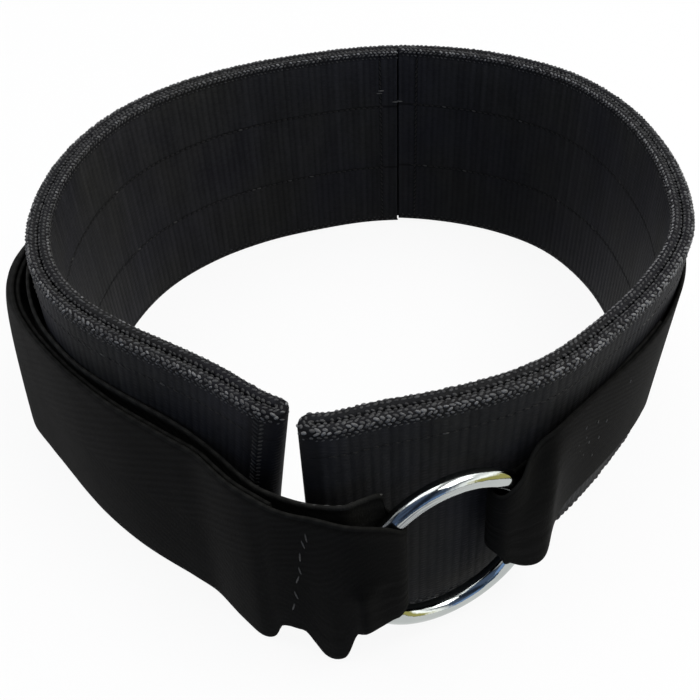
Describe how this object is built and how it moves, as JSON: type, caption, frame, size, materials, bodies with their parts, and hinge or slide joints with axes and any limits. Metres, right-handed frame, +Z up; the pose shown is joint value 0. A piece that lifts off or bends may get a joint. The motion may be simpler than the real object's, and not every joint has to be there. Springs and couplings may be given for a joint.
{
  "type": "weightlifting belt",
  "caption": "Wide ribbed-webbing lifting belt, closed in a loop by a cloth strap that folds back through a steel ring.",
  "frame": {"origin": "middle of the belt's bounding box, on the level of its lower edge", "axes": "+Z up through the waist opening, -Y towards the open front with the ring, +X towards the side that the ring is on"},
  "size_m": [0.2866, 0.2858, 0.1031],
  "materials": {
    "charcoal_webbing": "ribbed woven nylon, matt",
    "black_twill": "twill weave, matt",
    "polished_steel": "polished"
  },
  "bodies": {
    "root": {"belt_webbing": "charcoal_webbing", "closing_strap": "black_twill", "strap_backing": "black_twill", "steel_ring": "polished_steel"}
  },
  "joints": []
}
